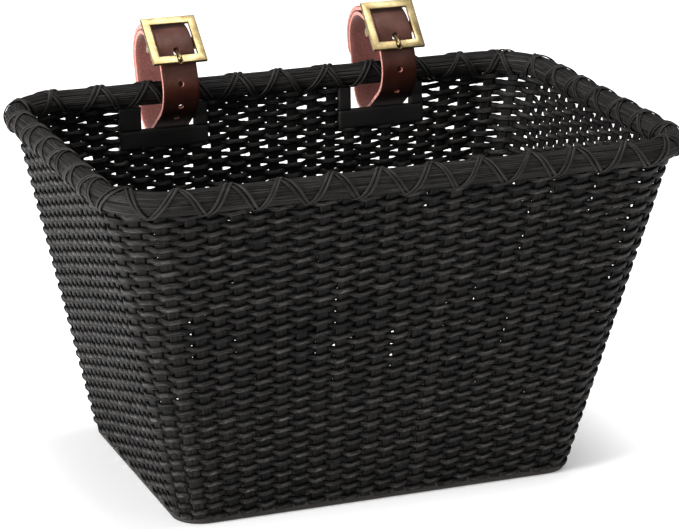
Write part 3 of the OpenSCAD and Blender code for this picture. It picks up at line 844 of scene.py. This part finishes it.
# Bends of the strap: how far behind and above the rim's centreline, and middle radius
SLING_AT, SLING_R = (20.1, -14.4), 15.0
FRONT_AT, FRONT_R = (5.6, 2.8), 20.0
LAP_RUN, LAP_CLOSE = 9.0, 12.0
FOLD_R = PIN_D / 2 + 0.06 + STRAP_T / 2
PIN_REACH = CROWN_R - STRAP_T / 2 - 0.3 - FOLD_R - STRAP_T / 2
HOLE_D = 3.4
SIDES = {
    "left": {
        "x": -65.4, "crown": (113.8, 226.8), "tilt": 41.0, "tail": 24.0,
        "holes": (76.0, 117.0), "low_hole": 3.5,
    },
    "right": {
        "x": 81.4, "crown": (114.3, 226.4), "tilt": 47.0, "tail": 3.0,
        "holes": (86.0, 131.0), "low_hole": None,
    },
}


def turned(angle):
    a = math.radians(angle)
    return np.array([math.cos(a), math.sin(a)])


class Belt:
    """One strap's middle line, in (y, z): clockwise round a list of rounds, as the CAD has it."""

    def __init__(self, spec):
        crown = np.array(spec["crown"])
        self.pin = crown + PIN_REACH * turned(90 + spec["tilt"])
        rim = np.array([RIM_BACK, RIM_Z])
        bar = np.array([BAR_Y, BAR_Z])
        bar_r = BAR_D / 2 + STRAP_T / 2
        self.rounds = [
            (self.pin, FOLD_R), (bar, bar_r), (rim + SLING_AT, SLING_R),
            (rim + FRONT_AT, FRONT_R), (crown, CROWN_R), (bar, bar_r + STRAP_T + 0.4),
        ]
        self.headings = [self.heading(a, b) for a, b in zip(self.rounds, self.rounds[1:])]
        self.lap = self.headings[0] + 180 + LAP_CLOSE
        self.tail = spec["tail"]

    @staticmethod
    def heading(a, b):
        d = b[0] - a[0]
        return math.degrees(math.atan2(d[1], d[0]) + math.asin((b[1] - a[1]) / np.linalg.norm(d)))

    @staticmethod
    def leave(a, h):
        return a[0] + a[1] * turned(h + 90)

    def arc(self, k, h0, h1, step=3.0):
        sweep = h0 - h1 if h0 >= h1 else h0 - h1 + 360
        n = max(2, int(math.ceil(sweep / step)))
        return [(self.leave(self.rounds[k], h0 - sweep * j / n), h0 - sweep * j / n) for j in range(n + 1)]

    def stations(self):
        """Points and headings along the whole strap, straights cut to about 2 mm."""
        h, r = self.headings, self.rounds
        marks = [(self.leave(r[0], self.lap) - LAP_RUN * turned(self.lap), self.lap)]
        marks += self.arc(0, self.lap, h[0], 8.0)
        for k in range(1, 5):
            marks += self.arc(k, h[k - 1], h[k])
        marks += self.arc(5, h[4], h[1])
        end = self.leave(r[5], h[1]) + (self.tail + STRAP_W / 2) * turned(h[1])
        marks.append((end, h[1]))
        points, heads = [marks[0][0]], [marks[0][1]]
        for (p, _), (q, hq) in zip(marks, marks[1:]):
            length = np.linalg.norm(q - p)
            if length < 1e-4:
                continue
            cuts = max(1, int(round(length / 2.2))) if length > 3 else 1
            for c in range(1, cuts + 1):
                points.append(p + (q - p) * c / cuts)
                heads.append(hq)
        return np.array(points), np.array(heads)


def strap_profile():
    """Cross-section of the leather: (across, out), grain lengths and the material of each strip."""
    w, t = STRAP_W / 2, STRAP_T / 2
    outer = [(-w + 0.75 + (2 * w - 1.5) * k / 10, t) for k in range(11)][::-1]
    pts = (
        [(w - 0.12, t - 0.45), (w - 0.32, t - 0.12)] + outer + [(-w + 0.32, t - 0.12), (-w + 0.12, t - 0.45)]
        + [(-w, t - 1.0), (-w, -t + 0.7), (-w + 0.15, -t + 0.25), (-w + 0.55, -t)]
        + [(-w + 0.55 + (2 * w - 1.1) * k / 8, -t) for k in range(1, 9)]
        + [(w - 0.15, -t + 0.25), (w, -t + 0.7), (w, t - 1.0)]
    )
    p = np.array(pts)
    step = np.linalg.norm(np.roll(p, -1, 0) - p, axis=1)
    kinds = []
    for a, b in zip(pts, pts[1:] + pts[:1]):
        mid = ((a[0] + b[0]) / 2, (a[1] + b[1]) / 2)
        if mid[1] > t - 0.35:
            kinds.append(0)
        elif mid[1] < -t + 0.15:
            kinds.append(1)
        else:
            kinds.append(2)
    return p, np.concatenate([[0], np.cumsum(step)]), kinds


def shape_from(verts, faces, name, materials, index=0, smooth=False):
    mesh = bpy.data.meshes.new(name)
    mesh.from_pydata([Vector(v) * MM for v in verts], [], faces)
    for m in materials:
        mesh.materials.append(m)
    for f in mesh.polygons:
        f.material_index = index
        f.use_smooth = smooth
    obj = bpy.data.objects.new(name, mesh)
    bpy.context.scene.collection.objects.link(obj)
    return obj


def rod(radius, length, name, materials, index=0, sides=28):
    """Closed cylinder along local Z, middle at the origin, in millimetres."""
    verts, faces = [], []
    for z in (-length / 2, length / 2):
        verts += [(radius * math.cos(2 * math.pi * k / sides), radius * math.sin(2 * math.pi * k / sides), z)
                  for k in range(sides)]
    faces = [(k, (k + 1) % sides, sides + (k + 1) % sides, sides + k) for k in range(sides)]
    faces += [tuple(range(sides))[::-1], tuple(range(sides, 2 * sides))]
    return shape_from(verts, faces, name, materials, index)


def block(w, d, h, name, materials, index=0):
    """Closed box with its middle at the origin."""
    corners = ((-1, -1), (1, -1), (1, 1), (-1, 1))
    v = [(sx * w / 2, sy * d / 2, sz * h / 2) for sz in (-1, 1) for sx, sy in corners]
    f = [(3, 2, 1, 0), (4, 5, 6, 7), (0, 1, 5, 4), (1, 2, 6, 5), (2, 3, 7, 6), (3, 0, 4, 7)]
    return shape_from(v, f, name, materials, index)


def cut(obj, *tools):
    """Takes the tools' volumes out of obj and removes the tools."""
    for tool in tools:
        m = obj.modifiers.new("cut", "BOOLEAN")
        m.operation, m.solver, m.object = "DIFFERENCE", "EXACT", tool
    settle(obj)
    for tool in tools:
        bpy.data.objects.remove(tool, do_unlink=True)


def settle(obj):
    """Applies obj's modifiers."""
    bpy.context.view_layer.update()
    dg = bpy.context.evaluated_depsgraph_get()
    mesh = bpy.data.meshes.new_from_object(obj.evaluated_get(dg), preserve_all_data_layers=True, depsgraph=dg)
    obj.modifiers.clear()
    obj.data = mesh


def set_at(obj, matrix):
    obj.matrix_world = matrix
    obj.data.transform(matrix)
    obj.matrix_world = Matrix.Identity(4)


def belt_matrix(x, point, heading):
    """Local X across the strap, Y along the heading and Z out of its grain side."""
    m = Matrix.Rotation(math.radians(heading), 4, "X")
    m.translation = Vector((x, point[0], point[1])) * MM
    return m


def soften(obj, width, segments=2, angle=35):
    m = obj.modifiers.new("soft edge", "BEVEL")
    m.width, m.segments, m.limit_method = width * MM, segments, "ANGLE"
    m.angle_limit = math.radians(angle)
    m.harden_normals = False
    settle(obj)


def strap(side, spec):
    belt = Belt(spec)
    points, heads = belt.stations()
    profile, around, kinds = strap_profile()
    n = len(points)
    rad = np.radians(heads)
    out = np.stack([np.zeros(n), -np.sin(rad), np.cos(rad)], -1)
    across = np.tile([-1.0, 0.0, 0.0], (n, 1))
    centres = np.stack([np.full(n, spec["x"]), points[:, 0], points[:, 1]], -1)
    step = np.linalg.norm(np.diff(points, axis=0), axis=1)
    length = np.concatenate([[0], np.cumsum(step)])
    rings = rings_of(centres, across, out, profile)
    # the free end is cut round
    left = length[-1] - length
    near = left < STRAP_W / 2
    squeeze = np.ones(n)
    squeeze[near] = np.sqrt(np.maximum(1 - (1 - left[near] / (STRAP_W / 2)) ** 2, 0.02))
    rings[:, :, 0] = spec["x"] + (rings[:, :, 0] - spec["x"]) * squeeze[:, None]
    soup = Soup()
    soup.sweep(rings, length, around, 1.0, mats=kinds)
    obj = soup.build(f"visual_{side}_strap", [GRAIN, FLESH, EDGE])
    mats = [GRAIN, FLESH, EDGE]

    x = spec["x"]
    front_bend, low = belt.rounds[3], belt.headings[2]
    holes = [(belt.leave(front_bend, h), h) for h in spec["holes"]]
    if spec["low_hole"]:
        holes.append((belt.leave(front_bend, low) - spec["low_hole"] * turned(low), low))
    tools = []
    for where, h in holes:
        tool = rod(HOLE_D / 2, 3 * STRAP_T, "hole", mats, 2)
        set_at(tool, belt_matrix(x, where, h))
        tools.append(tool)
    at_pin = belt_matrix(x, belt.pin, spec["tilt"])
    fold = rod(FOLD_R + STRAP_T * 0.7, 4.4, "fold slot", mats, 2)
    set_at(fold, at_pin @ Matrix.Rotation(math.radians(90), 4, "Y"))
    window = rod(2.2, 22, "prong slot", mats, 2)
    along = Matrix.Rotation(math.radians(90 - PRONG_ANGLE - 1.5), 4, "X")
    set_at(window, at_pin @ along @ Matrix.Translation(Vector((0, 0, 14)) * MM))
    cut(obj, *tools, fold, window)
    finish_piece(obj, f"{side}_sling", "strap_leather", f"{side}_strap")

    rivet_at = belt.leave(belt.rounds[0], belt.headings[0]) + 6.2 * turned(belt.headings[0])
    rivet = lathe(
        [(0, 1.15), (0.9, 1.1), (1.8, 0.9), (2.5, 0.55), (2.9, 0.15), (3.0, -0.1), (2.8, -0.2),
         (1.5, -0.2), (1.5, -2 * FOLD_R), (2.4, -2 * FOLD_R),
         (2.5, -2 * FOLD_R - 0.4), (1.9, -2 * FOLD_R - 0.7),
         (0, -2 * FOLD_R - 0.8)],
        f"visual_{side}_strap_rivet", BRASS,
    )
    lifted = rivet_at + (STRAP_T / 2 + 0.12) * turned(belt.headings[0] + 90)
    set_at(rivet, belt_matrix(x, lifted, belt.headings[0]))
    finish_piece(rivet, f"{side}_sling", "brass", f"{side}_strap_rivet")
    return belt


def lathe(section, name, material, sides=36):
    """Turns (radius, height) points round local Z."""
    bm = bmesh.new()
    loops = []
    for r, z in section:
        if r == 0:
            loops.append([bm.verts.new((0, 0, z * MM))])
        else:
            loops.append([
                bm.verts.new((r * math.cos(a) * MM, r * math.sin(a) * MM, z * MM))
                for a in (2 * math.pi * k / sides for k in range(sides))
            ])
    for a, b in zip(loops, loops[1:]):
        for k in range(sides):
            j = (k + 1) % sides
            if len(a) == 1:
                f = (a[0], b[k], b[j])
            elif len(b) == 1:
                f = (a[j], a[k], b[0])
            else:
                f = (a[j], a[k], b[k], b[j])
            bm.faces.new(f).smooth = True
    bmesh.ops.recalc_face_normals(bm, faces=bm.faces)
    mesh = bpy.data.meshes.new(name)
    bm.to_mesh(mesh)
    bm.free()
    mesh.materials.append(material)
    obj = bpy.data.objects.new(name, mesh)
    bpy.context.scene.collection.objects.link(obj)
    return obj


# ---------------------------------------------------------------- buckles

BUCKLE_W, BUCKLE_H, BUCKLE_T, FRAME_OUT = 35.5, 35.3, 2.2, 5.6
WINDOW_W, WINDOW_LOW, WINDOW_HIGH = 25.0, -11.9, 12.4
LUG_W, LUG_R = 3.6, 2.8


def prism(outline, x0, x1, name, materials):
    """Extrudes (y, z) points along X."""
    n = len(outline)
    verts = [(x, y, z) for x in (x0, x1) for y, z in outline]
    faces = [(k, (k + 1) % n, n + (k + 1) % n, n + k) for k in range(n)]
    faces += [tuple(range(n))[::-1], tuple(range(n, 2 * n))]
    return shape_from(verts, faces, name, materials)


def join(name, *objs):
    bm = bmesh.new()
    for o in objs:
        bm.from_mesh(o.data)
    mesh = bpy.data.meshes.new(name)
    bmesh.ops.recalc_face_normals(bm, faces=bm.faces)
    bm.to_mesh(mesh)
    bm.free()
    for m in objs[0].data.materials:
        mesh.materials.append(m)
    for o in objs:
        bpy.data.objects.remove(o, do_unlink=True)
    obj = bpy.data.objects.new(name, mesh)
    bpy.context.scene.collection.objects.link(obj)
    return obj


def smooth_by_angle(obj, degrees=32):
    obj.data.shade_smooth()
    obj.data.set_sharp_from_angle(angle=math.radians(degrees))


def buckle(side, spec, belt):
    at = belt_matrix(spec["x"], belt.pin, spec["tilt"])
    plate = block(BUCKLE_W, BUCKLE_H, BUCKLE_T, "plate", [BRASS])
    set_at(plate, Matrix.Translation(Vector((0, 0, FRAME_OUT + BUCKLE_T / 2)) * MM))
    hole = block(WINDOW_W, WINDOW_HIGH - WINDOW_LOW, 3 * BUCKLE_T, "window", [BRASS])
    middle = Vector((0, (WINDOW_HIGH + WINDOW_LOW) / 2, FRAME_OUT + BUCKLE_T / 2))
    set_at(hole, Matrix.Translation(middle * MM))
    cut(plate, hole)
    soften(plate, 0.55, 3)
    notch = rod(1.75, 8, "notch", [BRASS])
    set_at(notch, Matrix.Translation(Vector((0, WINDOW_LOW - 2.2, FRAME_OUT + BUCKLE_T + 0.35)) * MM)
           @ Matrix.Rotation(math.radians(90), 4, "X"))
    cut(plate, notch)
    lugs = []
    for s in (-1, 1):
        x0 = s * (WINDOW_W + LUG_W) / 2 - LUG_W / 2
        turns = [math.radians(a) for a in range(180, 361, 12)]
        arc = [(LUG_R * math.cos(a), LUG_R * math.sin(a)) for a in turns]
        outline = [*arc, (LUG_R, FRAME_OUT + 0.4), (-LUG_R, FRAME_OUT + 0.4)]
        lug = prism(outline, x0, x0 + LUG_W, "lug", [BRASS])
        soften(lug, 0.3, 2)
        lugs.append(lug)
    body = join(f"visual_{side}_buckle_frame", plate, *lugs)
    smooth_by_angle(body)
    set_at(body, at)
    finish_piece(body, f"{side}_buckle", "brass", f"{side}_buckle_frame")

    half = (WINDOW_W + 2 * LUG_W) / 2
    r = PIN_D / 2
    bar = lathe(
        [(0, -half - 0.35), (0.8, -half - 0.25), (1.2, -half),
         (r - 0.02, -half + 0.35), (r - 0.02, half - 0.35),
         (1.2, half), (0.8, half + 0.25), (0, half + 0.35)],
        f"visual_{side}_buckle_bar", BRASS, 28,
    )
    set_at(bar, at @ Matrix.Rotation(math.radians(90), 4, "Y"))
    finish_piece(bar, f"{side}_buckle", "brass", f"{side}_buckle_bar")

    soup = Soup()
    path = np.array([
        (-2.2, 1.4), (-4.2, 2.75), (-6.4, 4.25), (-8.6, 5.75), (-10.6, 7.05), (-12.2, 7.95),
        (-13.6, 8.35), (-14.8, 8.40), (-15.6, 8.30), (-16.15, 8.18), (-16.4, 8.10),
    ])
    radius = np.array([1.15, 1.2, 1.2, 1.2, 1.2, 1.25, 1.35, 1.4, 1.25, 0.8, 0.25])
    centres = np.stack([np.zeros(len(path)), path[:, 0], path[:, 1]], -1)
    along = unit_rows(np.gradient(centres, axis=0))
    across = np.tile([1.0, 0.0, 0.0], (len(path), 1))
    a = np.linspace(0, 2 * np.pi, 20, endpoint=False)
    ring = np.stack([np.cos(a), np.sin(a)], -1)
    rings = (
        centres[:, None, :]
        + radius[:, None, None] * (ring[None, :, 0:1] * across[:, None, :]
                                   + ring[None, :, 1:2] * np.cross(along, across)[:, None, :])
    )
    soup.sweep(rings, np.arange(len(path)) * 2.0, np.linspace(0, 7.5, 21), 1.0)
    # the eye that wraps the centre bar
    turns = np.linspace(0, 2 * np.pi, 40, endpoint=False)
    flat, around = oval(3.0, 1.3, 12, 3.0)
    mid = r + 0.06 + 0.66
    centres = np.stack([np.zeros(40), mid * np.cos(turns), mid * np.sin(turns)], -1)
    out = centres / mid
    eye = rings_of(centres, np.tile([1.0, 0.0, 0.0], (40, 1)), out, flat)
    soup.sweep(eye[:, ::-1], turns * mid, around, 1.0, closed=True)
    prong = soup.build(f"visual_{side}_buckle_prong", [BRASS])
    set_at(prong, at)
    finish_piece(prong, f"{side}_prong", "brass", f"{side}_buckle_prong")


# ---------------------------------------------------------------- build

weave()
stakes()
base_board()
rim_bundle()
rim_lashing()
rim_core()
for name, sign in (("left", -1), ("right", 1)):
    slot_frame(name, sign)
for name, spec in SIDES.items():
    buckle(name, spec, strap(name, spec))


# ---------------------------------------------------------------- studio

def studio():
    scene = bpy.context.scene
    world = bpy.data.worlds.new("studio")
    scene.world = world
    world.use_nodes = True
    sky = world.node_tree.nodes["Background"]
    sky.inputs["Color"].default_value = (1.0, 1.0, 1.0, 1)
    sky.inputs["Strength"].default_value = 0.42

    floor_mesh = bpy.data.meshes.new("floor")
    size = 30.0
    corners = [(-size, -size, 0), (size, -size, 0), (size, size, 0), (-size, size, 0)]
    floor_mesh.from_pydata(corners, [], [(0, 1, 2, 3)])
    floor = bpy.data.objects.new("floor", floor_mesh)
    scene.collection.objects.link(floor)
    n = Nodes("floor")
    cloud = n.noise(n.place(), 3.0, 2.0, 0.4)
    n.set(Base_Color=n.ramp(cloud, (0.2, (0.93, 0.93, 0.93)), (0.8, (0.95, 0.95, 0.95))), Roughness=0.9,
          Specular_IOR_Level=0.1, Emission_Color=(1.0, 1.0, 1.0, 1), Emission_Strength=0.18)
    floor_mesh.materials.append(n.mat)
    floor.location.z = -0.0004

    lamps = [
        ("key", (-2.6, -0.6, 0.62), 1.0, 150.0),
        ("top", (0.2, -0.2, 2.6), 1.5, 74.0),
        ("fill", (1.6, -2.0, 1.3), 1.4, 6.0),
    ]
    for name, place, size, power in lamps:
        light = bpy.data.lights.new(name, "AREA")
        light.shape, light.size, light.energy = "DISK", size, power
        lamp = bpy.data.objects.new(name, light)
        lamp.location = place
        lamp.rotation_euler = (Vector((0, 0, 0.12)) - Vector(place)).to_track_quat("-Z", "Y").to_euler()
        scene.collection.objects.link(lamp)

    scene.view_settings.view_transform = "Standard"
    scene.view_settings.look = "None"


VIEW_FROM = Vector((-629.2, -1642.4, 681.7))
VIEW_TARGET = Vector((0.6, -18.6, 125.9))
LENS, SENSOR = 159.06, 36.0


def camera():
    """The main viewpoint: 1.83 m off, 21 degrees to the left and 18 degrees up."""
    data = bpy.data.cameras.new("camera")
    data.lens, data.sensor_width, data.sensor_fit = LENS, SENSOR, "HORIZONTAL"
    cam = bpy.data.objects.new("camera", data)
    bpy.context.scene.collection.objects.link(cam)
    cam.location = VIEW_FROM * MM
    cam.rotation_euler = (VIEW_TARGET * MM - cam.location).to_track_quat("-Z", "Y").to_euler()
    data.clip_start, data.clip_end = 0.05, 100.0
    bpy.context.scene.camera = cam


studio()
camera()
